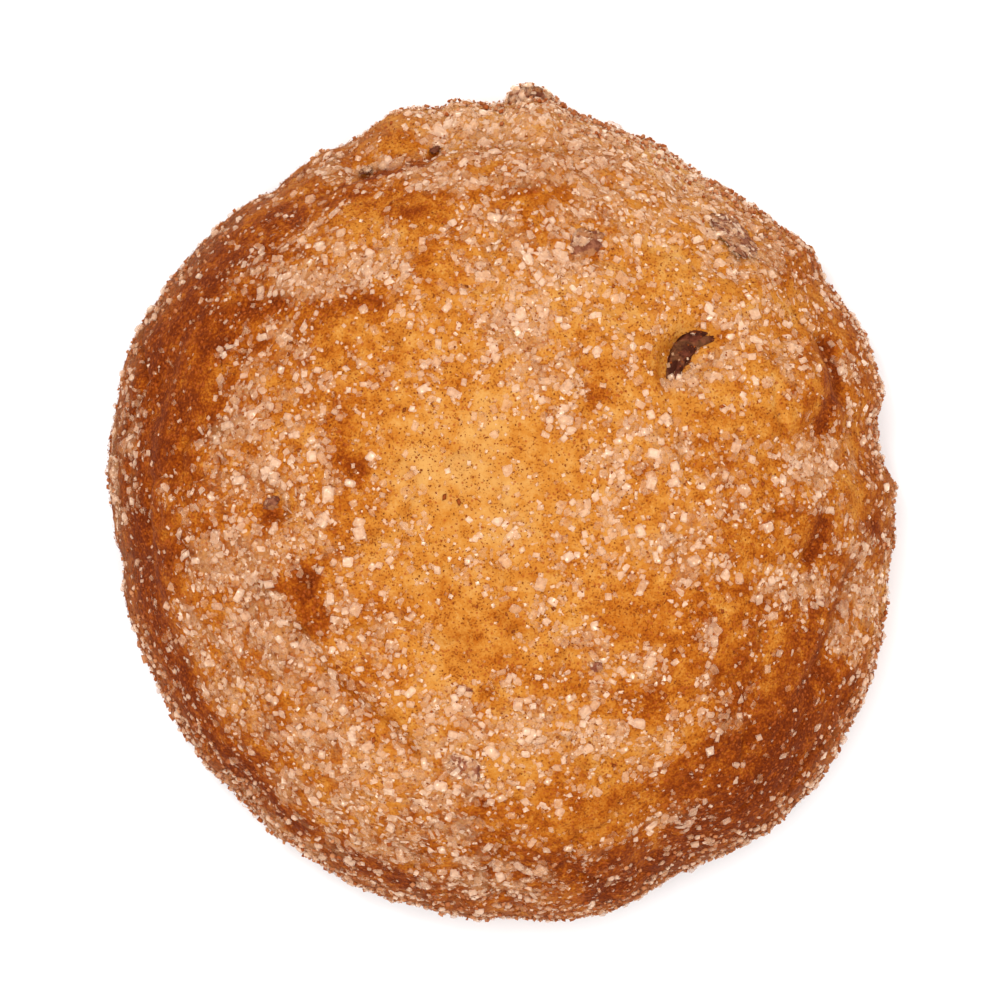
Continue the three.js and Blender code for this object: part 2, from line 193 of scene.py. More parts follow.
# Where the sugar lies thick, or thin with a minus: reach, strength, then the points of the line
DRIFTS = [
    (1.2, 0.8, (-13.2, 12.6), (-11.8, 12.2), (-9.3, 12.9), (-6.5, 13.4)),
    (0.8, 0.5, (-12.4, 9.2), (-10.8, 9)), (1.9, 0.55, (-13, 5.2), (-14.6, 3.2), (-12, 2.2)),
    (1.2, 0.5, (-10.5, 1), (-10.8, -1.6)), (1.5, 0.9, (-15.2, -3.4), (-13.5, -3), (-14.2, -5.6)),
    (1.9, 0.5, (-16, -7.4), (-13.8, -9.4)), (0.8, 0.4, (-12.6, -2.2)),
    (1, 0.6, (-13, -6), (-11.3, -8.4), (-9.6, -10.6)), (1.9, 0.65, (-10.8, -12.8), (-7.8, -13.6)),
    (1.6, 0.6, (-3.2, -11.6), (-2.2, -14.4)), (1.3, 0.55, (-4.8, -16.2), (-2.6, -17.8)),
    (1.7, 0.4, (-11, -16.4), (-6.5, -18.2)), (1.1, 0.5, (-4.4, -20.4), (-0.5, -20.7), (3.2, -20.6)),
    (1.5, 0.5, (-7.6, -6.4), (-6, -7.6)), (1.3, 0.4, (-1.5, 14.2), (-0.8, 11.5), (0.2, 9.5)),
    (1.3, 0.4, (0.2, 15.6), (1.4, 12.5)), (1.7, 1.1, (-3.6, 20.9), (0, 20.9), (4, 20.5)),
    (0.6, 0.6, (-10, 18.4), (-7, 18.4), (-4.6, 18.9)), (0.7, 0.35, (-4, 17.7), (0, 17.8), (5, 17.6)),
    (1.6, 0.55, (4.7, 17), (4.2, 14), (2.2, 11.6), (1, 8.8), (2.6, 6.6)),
    (1.9, 0.5, (7.2, 18.2), (10, 16.6), (13.4, 13.6)), (0.8, 0.4, (14.3, 12.1)),
    (0.7, 0.8, (12, 7.7), (10.4, 6.4)), (0.7, 0.3, (8.6, 9.8)), (1.3, 0.45, (13.2, 9.3), (15, 7.8)),
    (1.3, 0.5, (7.6, 3.6), (9.8, 2.6), (5.4, 2.2)), (1.6, 0.2, (12, 0.5)), (1.4, 1, (17.4, 2.2)),
    (0.6, 0.7, (18.9, 7.4)), (1.4, 0.4, (5.2, -1), (8, -2.6), (11, -3)), (0.9, 0.4, (0.7, -1.5)),
    (0.9, 0.9, (1.7, 22.4)), (0.7, 0.85, (14, -3.8), (15.4, -4.8), (17.2, -4.6)),
    (0.9, 0.6, (19.9, -3), (19.6, -5.4), (18.9, -7.6)), (0.9, 0.4, (8.2, -8.6), (7.6, -9.6)),
    (0.6, 0.4, (11.4, -7.2), (11.2, -9.6)), (1.1, 0.4, (4.8, -7.7)),
    (1.2, 0.6, (0, -12.8), (3.5, -12.6), (7, -13.2), (10.5, -12.8), (12.3, -11.8)),
    (1, 0.35, (8, -17.6), (10.2, -17)), (0.9, 0.3, (5, -20.2)),
    (0.6, -1.3, (11.6, 9.3), (10.2, 8.8), (9.5, 7.9)), (1.9, -0.3, (-17.8, 9.4), (-17.6, 4)),
    (3.2, -0.22, (-1.5, 2)), (1.6, -0.2, (-1, -6.6), (-2.4, -9)), (1, -0.25, (-6.6, 16.4), (-3.8, 16.2)),
    (0.8, -0.4, (-10.9, -4.3), (-10.4, -6.4)), (0.9, -0.25, (-8.8, 2.8)),
    (2.4, -0.25, (17, -9.6), (13.6, -14.8)), (0.5, -0.3, (-12.5, -0.3)),
    (0.9, -0.5, (-6.2, 20.4), (-4.6, 19.8)), (1, -0.15, (13.8, -2), (10, -14.8)), (0.7, 0.5, (-7.6, 19.9)),
    (0.8, 0.5, (4.9, 21.3), (7.5, 20), (9.9, 18.6)), (0.8, 0.7, (2.9, 15.4)), (0.8, 0.5, (-0.7, 12.4)),
    (0.7, 0.2, (-10.1, 13.5)), (0.6, 0.5, (8.2, 8.3)), (0.6, 0.4, (11.5, 10.2)), (0.8, 0.2, (-17.9, 2.4)),
    (0.7, 0.35, (-12.1, -2.4)), (0.8, 0.4, (-9.6, -13.2)), (0.9, 0.4, (2.9, -13.4)),
    (0.7, 0.3, (5.4, -10.4)), (0.5, 0.3, (-21.6, 4), (-21.6, 0.5)), (0.9, 0.4, (-2.5, 20.6), (0.3, 20.2)),
    (0.9, 0.4, (6.5, 18.9), (9.5, 18)), (0.8, -0.5, (2.6, 12)), (0.7, -0.2, (5.4, 14.6)),
    (0.8, -0.2, (-8.5, 15.1)), (0.9, -0.2, (-14, 12.9)), (0.8, -0.3, (-12.6, 9)), (0.7, -0.3, (-11.3, -0.9)),
    (0.8, -0.3, (13.2, 9)), (0.9, -0.2, (4.3, 2.9)), (0.8, -0.4, (-12.9, -7.1)), (0.7, -0.3, (-8.5, -11)),
    (0.9, -0.3, (-9.6, -16)), (0.9, -0.35, (8.2, -12), (11.5, -13)), (0.7, -0.2, (0.4, -12)),
    (0.8, -0.2, (9.3, -17.1)), (0.9, -0.3, (10.4, -19.9)), (0.8, -0.2, (1.5, -19.9), (4.3, -19.9)),
    (0.9, -0.25, (8.8, -3.2)), (0.9, -0.6, (21, 4)), (2.6, -0.12, (2, 2.5), (6, -0.5)),
    (2, -0.15, (5.5, -6.5), (9.5, -7.5)), (1.4, -0.15, (-3.5, -6.5)), (0.9, -0.4, (14, 7.6)),
    (1, -0.1, (2.5, 12), (3.6, 15)), (1.2, 0.4, (-2.8, 20.4), (0.4, 20)),
    (1.1, 0.45, (5.9, 20.4), (8.6, 19.2), (10.6, 17.6)), (0.9, 0.4, (-9.6, -13.4)), (0.8, 0.4, (-0.9, 11.9)),
    (0.8, 0.5, (3.6, 4.9)), (0.7, 0.4, (7.2, 15.4)), (0.7, 0.3, (3.4, 14.9)), (0.7, 0.4, (-12.2, -2.3)),
    (0.9, 0.2, (-14.6, -4)), (0.9, 0.3, (2.8, -13.4)), (0.8, 0.3, (-2.8, -15.6)), (0.8, 0.3, (-1.6, -20.4)),
    (0.8, 0.2, (-6.8, -17.6)), (0.6, 0.4, (6.6, 0.8)), (0.5, 0.5, (10.6, 6.9)), (0.7, 0.3, (14.9, 12.3)),
    (0.6, 0.3, (17.4, 2.6)), (0.9, 0.1, (1.6, 0.9)), (0.7, -0.4, (8.6, 13.6)), (0.9, -0.3, (0, 16.4)),
    (0.9, -0.3, (-9.4, 8.9)), (0.8, -0.25, (3, 11.2)), (0.8, -0.25, (5.2, -11.8), (9, -13)),
    (0.9, -0.3, (3.4, -18), (8.4, -16.6)), (0.8, -0.2, (4.4, -1.4)), (0.8, -0.15, (-13.8, 1.9)),
    (1.2, -0.3, (-19.2, -1.6)), (0.5, -0.2, (-0.9, -19.8)), (1, -0.3, (19.6, 13)),
    (0.5, -0.5, (8.6, 8.2), (9.6, 9.4)), (0.7, 0.25, (-21, 3), (-21.3, -0.5)), (0.6, 0.3, (-14, -16)),
    (0.8, 0.4, (-12.2, -2), (-13.2, -4.4)), (0.8, 0.3, (-9.4, -13.4)), (1.2, 0.4, (-1.5, 20.6), (2.4, 20.6)),
    (0.8, -0.25, (19.2, 11.4), (20.6, 7.4)), (0.8, 0.25, (3.2, 13.2), (3.4, 11.4)), (0.8, 0.3, (8.4, -1.8)),
    (1, -0.2, (5.8, 6.2), (8, 4.6)), (1.3, -0.15, (14.6, 4.8), (16.2, 4.2)),
    (1, -0.25, (17, 13.6), (19, 10)), (0.4, 0.6, (9.2, 6.6)), (1, -0.25, (13, 11.8)),
    (0.8, -0.3, (11.8, 6.3)), (0.6, -0.6, (13.1, 14.4)), (0.6, -0.6, (4.9, 13.9)), (0.6, -0.8, (1, 22.7)),
    (0.7, 0.4, (3, 15.2)), (1, 0.35, (3.4, 20.6), (8.2, 18.6)), (0.7, -0.3, (2.8, 11.4)),
    (0.35, -1, (-7.5, 18.2)), (0.35, -1.2, (-3.7, 19.4)),
]

# The cover between the drifts, and the clumps in it: size, octaves, strength, shift
BARE_COVER, LEAST_COVER = 0.15, 0.02
CLUMP_LEVEL = 0.45
CLUMPS = [(2.2, 3, 0.8, 11.0), (0.9, 2, 1.3, 23.0)]
BETWEEN_CLUMPS, CLUMP_GAIN = 0.25, 1.3
FURROW_CLEARING = 3
BROWNED_CLEARING, BROWNED_RISE = 0.6, (0.6, 0.25)
SUGAR_FROM = (0.6, 2.0)

# Stretches of the rim with more sugar at the very edge: angle, half width in degrees, strength
SUGARED_RIM = [(76, 30, 0.85), (238, 20, 0.4), (345, 12, 0.15), (172, 16, 0.45)]
SUGARED_EDGE = (0.9, 0.06)

# Melted sugar: from which cover on it shows, and how much of it lies on the side, where that thin pale film
# is also painted glow of the light wrapping round the edge
FILM_RISE = (0.12, 0.5)
SIDE_GLOW_FILM, SIDE_RISE = 0.4, (0.95, 0.05)

# Stretches where the rim is baked darker, or paler with a minus: angle, half width in degrees, strength
BAKED_RIM = [
    (195, 28, 0.16), (152, 18, 0.12), (230, 30, 0.12), (285, 48, 0.12), (72, 34, -0.22), (352, 16, -0.05),
    (28, 20, -0.06),
]

# Sugar: name, how many, smallest and largest in millimetres, spacing, lift over the crust
SUGARS = [
    ("sugar_coarse", 380, (0.55, 0.82), 0.9, (-0.30, -0.12)),
    ("sugar_rim", 1700, (0.18, 0.40), 0.26, (-0.08, 0.07)),
    ("sugar_cut", 3200, (0.36, 0.66), 0.28, (-0.20, -0.06)),
    ("sugar_blocks", 5200, (0.28, 0.50), 0.2, (-0.16, -0.04)),
    ("sugar_prisms", 3000, (0.22, 0.42), 0.16, (-0.12, -0.02)),
    ("sugar_fine", 7000, (0.14, 0.28), 0.14, (-0.05, 0.03)),
]

# How close two crystals can lie, as a share of both their half widths
CLOSENESS = 0.72
TAKEN_CELL = 0.9

# Sugar stays on what faces up, less on steep steps of the cap, and the finest lies everywhere
STEEP_SHARE, UPRIGHT_GAIN = 0.06, 1.5
STEP_FROM, STEP_STEEPNESS, STEP_CLEARING = (8, 2), (0.5, 0.3), 0.8
FINE_EVERYWHERE = 0.035
SUGAR_TILT, SPICE_TILT = 0.3, 0.35

# Stretches where grains stand out at the rim: angle, half width in degrees, strength
GRAINY_RIM = [(50, 75, 1.0), (235, 45, 0.8), (305, 60, 0.8), (150, 25, 0.3)]
GRAINS_ALL_ROUND = 0.15
GRAINS_FROM, GRAINS_UP_TO = (0.8, 1.5), (12, 3)
RIM_FACING, RIM_FACING_GAIN = 0.1, 2.5

# A block's least and greatest length, width and height, as shares of its size, and the spread of sizes
BLOCK_SHARES = (0.75, 0.7, 0.55), (1.0, 1.0, 0.9)
SIZE_SPREAD = (1.6, 2.4)

# Least height over the table, draws for each place that is wanted, and how far a place is moved at random
CLEARANCE = 0.02
SPARE_DRAWS = 4
PLACE_SCATTER = 0.1

# How near the crust is read for its slope, with its steepest, and for its height
SLOPE_REACH, LEAST_UPRIGHT = 1.6, 0.3
TOUCH_REACH = 0.4

# Ground cinnamon: name, how many, smallest and largest in millimetres
SPICES = [
    ("cinnamon_flecks", 20000, 0.07, 0.18), ("cinnamon_chips", 130, 0.22, 0.42),
    ("cinnamon_rim", 1700, 0.10, 0.25),
]
SPICE_LIFT, SUGAR_BED = (0.0, 0.06), 0.12

# Crystals: cuts of round edges and corners, shoulder and foot, and how far tops and worn edges look up
ROUND_EDGE, ROUND_CORNER = 0.29, 0.42
SHOULDER, FOOT = 0.45, 0.85
TOP_UP, EDGE_UP = 0.95, 0.15

# Larger bits of cinnamon bark: x, y, size
BARK_BITS = [
    (-6.25, -18.9, 0.62), (-5.3, -18.1, 0.4), (-7.1, -13.1, 0.42), (-3.2, 0.3, 0.5),
    (-2.4, 0.05, 0.45), (12.1, 5.3, 0.4), (-5.4, 5.1, 0.36), (-12.9, -11.1, 0.4),
]
BARK_LIFT = 0.08


def smooth(t):
    c = np.clip(t, 0, 1)
    return c * c * (3 - 2 * c)


def bell(distance, reach):
    return np.exp(-((distance / reach) ** 2))


def rise(value, start, width):
    """0 up to the start, and 1 from the width beyond it."""
    return smooth((value - start) / width)


def polar(points):
    """Distance from the middle of the plan, and angle in degrees."""
    return np.hypot(points[:, 0], points[:, 1]), np.degrees(np.arctan2(points[:, 1], points[:, 0]))


def within(angle, middle, half_width):
    """How strongly an angle lies inside a stretch of the rim, from 0 to 1."""
    apart = np.abs((angle - middle + 180) % 360 - 180)
    return smooth((1 - apart / half_width) / STRETCH_EDGE)


def along_rim(angle, stretches):
    """The sum of soft stretches of the rim: the middle of each one, its half width and strength."""
    return sum(strength * within(angle, middle, half) for middle, half, strength in stretches)


def rim_radius(angle):
    """Rim radius at any angle: a smooth closed curve through the named radii, with its details."""
    place = (angle % 360) / 360 * len(RIM_RADII)
    first = np.floor(place).astype(int)
    t = place - first
    a, b, c, d = (RIM_RADII[(first + k) % len(RIM_RADII)] for k in (-1, 0, 1, 2))
    curve = b + 0.5 * t * (c - a + t * (2 * a - 5 * b + 4 * c - d + t * (3 * (b - c) + d - a)))
    steps = np.arange(len(RIM_DETAIL)) * 360 / len(RIM_DETAIL)
    detail = np.interp(angle % 360, steps, RIM_DETAIL, period=360)
    return curve + detail - along_rim(angle, [NOTCH]) + along_rim(angle, [NUT_BULGE])


def section_at(t):
    """Radius and height of the plain crust, t from 0 at the middle of the top to 1 at the base's edge."""
    turn = np.pi * np.asarray(t, float)
    top = np.minimum(turn, np.pi / 2)
    out = np.sin(top) ** (2 / TOP_ROUNDNESS)
    up = np.clip(np.cos(top), 0, 1) ** (2 / SIDE_ROUNDNESS)
    under = np.maximum(turn, np.pi / 2)
    radius = np.where(
        turn < np.pi / 2, MEAN_RADIUS * out, BASE_RADIUS + (MEAN_RADIUS - BASE_RADIUS) * np.sin(under)
    )
    z = np.where(turn < np.pi / 2, WIDEST_Z + (HEIGHT - WIDEST_Z) * up, WIDEST_Z * (1 + np.cos(under)))
    return radius, z


def section_by_length():
    """The section, its way outward and upward, evenly spaced along its length."""
    radius, z = section_at(np.linspace(0, 1, SECTION_STEPS))
    run = np.concatenate([[0], np.cumsum(np.hypot(np.diff(radius), np.diff(z)))])
    even = np.linspace(0, run[-1], SECTION_STEPS)
    radius, z = np.interp(even, run, radius), np.interp(even, run, z)
    along = np.gradient(radius), np.gradient(z)
    length = np.hypot(*along)
    return radius, z, -along[1] / length, along[0] / length


def draws(seed):
    """Seeded draws, the same as those that shaped the solid."""
    state = seed

    def draw(low=0.0, high=1.0):
        nonlocal state
        state = (state * DRAW_FACTOR + DRAW_STEP) % DRAW_RANGE
        return low + (high - low) * state / DRAW_RANGE

    return draw


def make_lumps(section):
    """Soft lumps all over the crust: place, reach and height."""
    draw = draws(LUMP_SEED)
    radius, z = section[:2]
    lumps = []
    for _ in range(LUMP_COUNT):
        turn = draw(0, 2 * math.pi)
        i = round(math.sqrt(draw()) * (len(radius) - 1))
        at = (radius[i] * math.cos(turn), radius[i] * math.sin(turn), z[i])
        lumps.append((np.array(at), draw(*LUMP_REACH), draw(-LUMP_HEIGHT, LUMP_HEIGHT)))
    return lumps


def distance_to_line(points, line):
    """Distance from points, seen from above, to the line through some points, or to the only one."""
    nearest = np.full(len(points), np.inf)
    stops = np.array(line if len(line) > 1 else line * 2)
    for start, end in zip(stops[:-1], stops[1:]):
        step = end - start
        share = np.clip((points[:, :2] - start) @ step / max(step @ step, 1e-9), 0, 1)
        nearest = np.minimum(nearest, np.linalg.norm(points[:, :2] - start - share[:, None] * step, axis=1))
    return nearest


def patches(points, places):
    """The sum of soft patches, seen from above: reach and strength of each one, and its line."""
    total = np.zeros(len(points))
    for reach, strength, *line in places:
        total += strength * bell(distance_to_line(points, line), reach)
    return total


def grain(points, size, octaves, shift=0.0):
    """Fractal noise at points, about -1 to 1, whose largest features have that size."""
    moved = points / size + shift
    return np.array([noise.fractal(Vector(p), 1.0, 2.0, octaves) for p in moved])


def layers(points, levels, start=0, seed=1):
    """The sum of noises: size, octaves, height and shift of each one."""
    noises = (tall * grain(points, size, octaves, seed * shift) for size, octaves, tall, shift in levels)
    return sum(noises, start)


def large_relief(points, upward, lumps):
    """How far the crust stands above the plain dome, as in the solid."""
    calm = RIM_CALM + (1 - RIM_CALM) * upward ** 2
    height = patches(points, SWELLINGS)
    for reach, depth, _, *line in FURROWS:
        height -= depth * bell(distance_to_line(points, line), reach)
    for at, reach, tall in lumps:
        height += calm * tall * bell(np.linalg.norm(points - at, axis=1), reach)
    return height


def skirt_drop(radius, angle):
    """How far the skirt lies below the dome, outside the ledge."""
    over = smooth((radius - LEDGE_RADIUS + LEDGE_SOFTNESS) / (2 * LEDGE_SOFTNESS))
    fade = 1 - smooth((radius - LEDGE_RADIUS - LEDGE_SOFTNESS) / SKIRT_FADE)
    return along_rim(angle, LEDGES) * over * fade


def fine_relief(points, rng):
    """Crumb, pores, and cracks where the crust is dry."""
    height = layers(points, CRUMB)
    ridge = 1 - np.abs(grain(points, CRACK_SIZE, 2, shift=31.0)) * CRACK_SHARPNESS
    height -= CRACK_DEPTH * np.clip(ridge, 0, 1) ** 2 * smooth(grain(points, CRACKED_AREA, 2, shift=57.0) * 4)
    for i in rng.integers(0, len(points), PORE_COUNT):
        reach = rng.uniform(*PORE_REACH)
        near = np.abs(points - points[i]).max(1) < 3 * reach
        away = np.linalg.norm(points[near] - points[i], axis=1)
        height[near] -= rng.uniform(*PORE_DEPTH) * bell(away, reach)
    return height


def even_sphere(n):
    """Corners and quads of a unit sphere divided evenly: a cube with n by n panels a side, blown round."""
    u = np.tan(np.linspace(-np.pi / 4, np.pi / 4, n + 1))
    a, b = (g.ravel() for g in np.meshgrid(u, u, indexing="ij"))
    one = np.ones_like(a)
    sides = [
        np.stack(side, 1)
        for side in ((one, a, b), (-one, b, a), (b, one, a), (a, -one, b), (a, b, one), (b, a, -one))
    ]
    corners = np.concatenate(sides)
    corners /= np.linalg.norm(corners, axis=1)[:, None]
    i, j = (g.ravel() for g in np.meshgrid(np.arange(n), np.arange(n), indexing="ij"))
    first = i * (n + 1) + j
    quad = np.stack([first, first + n + 1, first + n + 2, first + 1], 1)
    quads = np.concatenate([quad + k * (n + 1) ** 2 for k in range(len(sides))])
    _, kept, joined = np.unique(np.round(corners, 7), axis=0, return_index=True, return_inverse=True)
    return corners[kept], joined.ravel()[quads]


def crust_points(directions, section):
    """Lays directions of a sphere out over the plain crust, evenly by area. The base gets fewer."""
    radius, z, outward, upward = section
    step = np.hypot(np.gradient(radius), np.gradient(z))
    area = np.cumsum(2 * np.pi * radius * step)
    base_area = np.pi * BASE_RADIUS ** 2
    base_run = np.linspace(BASE_RADIUS, 0, BASE_STEPS)[1:]
    base_gain = area[-1] + BASE_SHARE * (base_area - np.pi * base_run ** 2)
    flat = np.zeros_like(base_run)
    area = np.concatenate([area, base_gain])
    columns = ((radius, base_run), (z, flat), (outward, flat), (upward, flat - 1))
    share = (1 - directions[:, 2]) / 2
    return [np.interp(share * area[-1], area, np.concatenate(column)) for column in columns]


def dough_shape():
    """Corners and quads of the dough in millimetres."""
    section = section_by_length()
    directions, quads = even_sphere(PANELS)
    turn = np.arctan2(directions[:, 1], directions[:, 0])
    ring_radius, z, outward, upward = crust_points(directions, section)
    angle = np.degrees(turn)
    radius = ring_radius / MEAN_RADIUS * rim_radius(angle)
    points = np.stack([radius * np.cos(turn), radius * np.sin(turn), z], 1)
    clear = smooth(z / WIDEST_Z)
    rng = np.random.default_rng(SEED)
    relief = clear * large_relief(points, upward, make_lumps(section)) + smooth(z) * fine_relief(points, rng)
    way = np.stack([outward * np.cos(turn), outward * np.sin(turn), upward], 1)
    points += relief[:, None] * way
    points[:, 2] -= clear * skirt_drop(radius, angle)
    return points + OFF_CENTRE, quads


def make_mesh(name, points, faces):
    """A mesh object from points in millimetres and faces of one size."""
    mesh = bpy.data.meshes.new(name)
    count, sides = faces.shape
    mesh.vertices.add(len(points))
    mesh.vertices.foreach_set("co", (points * MM).astype(np.float32).ravel())
    mesh.loops.add(count * sides)
    mesh.loops.foreach_set("vertex_index", faces.astype(np.int32).ravel())
    mesh.polygons.add(count)
    mesh.polygons.foreach_set("loop_start", np.arange(count, dtype=np.int32) * sides)
    mesh.polygons.foreach_set("use_smooth", np.full(count, True))
    mesh.update(calc_edges=True)
    piece = bpy.data.objects.new(name, mesh)
    bpy.context.scene.collection.objects.link(piece)
    return piece


def put_attribute(piece, name, values, of="POINT"):
    attribute = piece.data.attributes.new(name, "FLOAT", of)
    attribute.data.foreach_set("value", np.asarray(values, np.float32))


def furrow_shade_share(points):
    """How far each point lies in a furrow, weighted by the painted shade that darkens that furrow."""
    return sum(dark * bell(distance_to_line(points, line), reach) for reach, _, dark, *line in FURROWS)


def browning_and_furrow_shade(points):
    """How far the crust is baked, from 0, pale gold, to 1, dark brown, with painted shade added in the
    furrows.
    """
    radius, angle = polar(points)
    out = radius / MEAN_RADIUS
    edge = EDGE_BAKE + along_rim(angle, BAKED_RIM)
    rim = DOME_BAKE * rise(out, *DOME_RISE) + edge * rise(out, *EDGE_RISE)
    base = BASE_BAKE * smooth((BASE_REACH - points[:, 2]) / BASE_REACH)
    # painted shade: the furrows are darkened as if they were baked further
    spread = rim + base + patches(points, BROWNING) + furrow_shade_share(points)
    return np.clip(MIDDLE_BAKE + spread + UNEVEN_BAKE * grain(points, UNEVEN_SIZE, 4), 0, 1)


def sugar_cover(points):
    """How thickly the sugar lies, from 0 to 1."""
    clumps = smooth(layers(points, CLUMPS, CLUMP_LEVEL))
    radius, angle = polar(points)
    edge = along_rim(angle, SUGARED_RIM)
    drifts = patches(points, DRIFTS) + edge * rise(radius / rim_radius(angle), *SUGARED_EDGE)
    cover = (BARE_COVER + drifts) * (BETWEEN_CLUMPS + CLUMP_GAIN * clumps)
    cover *= 1 - smooth(FURROW_CLEARING * furrow_shade_share(points))
    cover *= 1 - BROWNED_CLEARING * rise(browning_and_furrow_shade(points), *BROWNED_RISE)
    return np.clip(cover, LEAST_COVER, 1.0) * rise(points[:, 2], *SUGAR_FROM)


def rim_share(points):
    """How many grains stand out of the side, from the table's end up to the widest part and over it."""
    round_rim = GRAINS_ALL_ROUND + along_rim(polar(points)[1], GRAINY_RIM)
    top, fade = GRAINS_UP_TO
    return round_rim * rise(points[:, 2], *GRAINS_FROM) * smooth((top - points[:, 2]) / fade)


def sugar_film_and_edge_glow(points):
    """How much melted sugar lies on the crust: between the crystals, and thinly down the side, where it is
    also painted glow of the light that wraps round the edge.
    """
    radius, angle = polar(points)
    side = rise(radius / rim_radius(angle), *SIDE_RISE)
    return np.clip(rise(sugar_cover(points), *FILM_RISE) + SIDE_GLOW_FILM * side, 0, 1)


class Crust:
    """The faces that things can lie on: middles, facings, areas and sugar cover."""

    def __init__(self, *pieces):
        self.middles = self.read(pieces, "center", 3) / MM
        self.facings = self.read(pieces, "normal", 3)
        self.areas = self.read(pieces, "area", 1).ravel() / MM ** 2
        self.cover = sugar_cover(self.middles)
        sideways = 1 - RIM_FACING_GAIN * np.abs(self.facings[:, 2] - RIM_FACING)
        self.rim = rim_share(self.middles) * smooth(sideways)

    @staticmethod
    def read(pieces, name, width):
        found = [np.empty(len(piece.data.polygons) * width, np.float32) for piece in pieces]
        for piece, values in zip(pieces, found):
            piece.data.polygons.foreach_get(name, values)
        return np.concatenate(found).reshape(-1, width).astype(float)

    def places(self, count, spacing, weight, rng):
        """Up to count places, thick where the weight is high, and about the spacing apart."""
        chance = self.areas * weight
        i = rng.choice(len(chance), count * SPARE_DRAWS, p=chance / chance.sum())
        at = self.middles[i] + rng.normal(0, PLACE_SCATTER, (len(i), 3))
        at -= ((at - self.middles[i]) * self.facings[i]).sum(1)[:, None] * self.facings[i]
        _, kept = np.unique(np.floor(at / spacing), axis=0, return_index=True)
        kept = np.sort(kept)[:count]
        return at[kept], self.facings[i[kept]], i[kept]

    def near(self, x, y, reach):
        """The faces that look up, within that reach of a point of the plan."""
        away = np.hypot(self.middles[:, 0] - x, self.middles[:, 1] - y)
        return np.flatnonzero((away < reach) & (self.facings[:, 2] > 0))

    def slope(self, x, y):
        """How fast the crust rises along X and along Y, near a point of the plan."""
        facing = self.facings[self.near(x, y, SLOPE_REACH)].mean(0)
        return -facing[:2] / max(facing[2], LEAST_UPRIGHT)

    def over(self, x, y):
        """The face that lies highest near a point of the plan."""
        near = self.near(x, y, TOUCH_REACH)
        return near[self.middles[near, 2].argmax()]


def keep_apart(places, reaches, taken, most):
    """Which places, in turn and up to so many, lie clear of all the taken ones. They are then taken too."""
    kept = []
    for i, (x, y, z) in enumerate(places.tolist()):
        reach = reaches[i]
        home = tuple(math.floor(value / TAKEN_CELL) for value in (x, y, z))
        cells = product(*((k - 1, k, k + 1) for k in home))
        near = [other for cell in cells for other in taken.get(cell, ())]
        if all((x - u) ** 2 + (y - v) ** 2 + (z - w) ** 2 > (reach + r) ** 2 for u, v, w, r in near):
            taken.setdefault(home, []).append((x, y, z, reach))
            kept.append(i)
        if len(kept) == most:
            break
    return np.array(kept)


def take_out(bm):
    """Corners and faces of a mesh that is then done with."""
    bm.verts.index_update()
    corners = np.array([v.co for v in bm.verts])
    faces = np.array([[v.index for v in f.verts] for f in bm.faces])
    bm.free()
    return corners, faces


def hull(points):
    """Corners and triangles of the solid round some points."""
    bm = bmesh.new()
    for p in points:
        bm.verts.new(p)
    bmesh.ops.convex_hull(bm, input=bm.verts)
    bmesh.ops.triangulate(bm, faces=bm.faces)
    return take_out(bm)


def cut_block(cut, rounds=False):
    """A block two units wide whose edges and corners are cut, or cut twice to be round."""
    near = 1 - cut
    sets = [(1, near, near), (near, 1, near), (near, near, 1)]
    if rounds:
        edge, corner = 1 - ROUND_EDGE * cut, 1 - ROUND_CORNER * cut
        sets += [(edge, edge, near), (edge, near, edge), (near, edge, edge), (corner, corner, corner)]
    return hull([(sx * a, sy * b, sz * c) for a, b, c in sets for sx, sy, sz in product((-1, 1), repeat=3)])


def plain_block():
    """A block two units wide."""
    return hull(list(product((-1, 1), repeat=3)))


def worn_block(length, top):
    """A block longer along X, widest at its shoulder, with a smaller top."""
    levels = ((top, 1.0), (1.0, SHOULDER), (FOOT, -1.0))
    return hull([(x * wide * length, y * wide, z) for wide, z in levels for x in (-1, 1) for y in (-1, 1)])


def flake():
    """A flat chip with a ridge on either side."""
    return hull([(1, 0, 0), (-1, 0, 0), (0.2, 0.8, 0), (-0.3, -0.8, 0), (0, 0, 0.45), (0, 0, -0.45)])


def flat_turns(facings, rng):
    """Rotation matrices that lay a thing's own Z along each facing, turned about it at random."""
    aside = rng.normal(size=facings.shape)
    a = np.cross(facings, aside)
    a /= np.linalg.norm(a, axis=1)[:, None]
    return np.stack([a, np.cross(facings, a), facings], 2)


def face_kinds(template):
    """For each face of a template 0 if it is the top, 1 for a worn edge of it, 2 for a flank or below."""
    corners, faces = template
    a, b, c = (corners[faces[:, k]] for k in range(3))
    facing = np.cross(b - a, c - a)
    up = facing[:, 2] / np.linalg.norm(facing, axis=1)
    return np.where(up > TOP_UP, 0, np.where(up > EDGE_UP, 1, 2))


def scatter(name, template, places, turns, sizes, unevenness, rng):
    """One mesh of many small things: the template at each place, turned, sized and made uneven."""
    corners, faces = template
    count = len(places)
    uneven = 1 + unevenness * rng.uniform(-1, 1, (count, len(corners), 1))
    local = corners[None] * sizes[:, None, :] * uneven
    points = places[:, None, :] + np.einsum("nij,nmj->nmi", turns, local)
    points[:, :, 2] += np.maximum(CLEARANCE - points[:, :, 2].min(1), 0)[:, None]
    all_faces = faces[None] + (np.arange(count) * len(corners))[:, None, None]
    piece = make_mesh(name, points.reshape(-1, 3), all_faces.reshape(-1, 3))
    kinds = np.tile(face_kinds(template), count)
    put_attribute(piece, "tone", np.repeat(rng.uniform(0, 1, count), len(corners)))
    put_attribute(piece, "bake", np.repeat(browning_and_furrow_shade(places), len(corners)))
    put_attribute(piece, "worn", kinds == 1, "FACE")
    put_attribute(piece, "flank", kinds == 2, "FACE")
    lay_map(piece, count, kinds)
    return piece


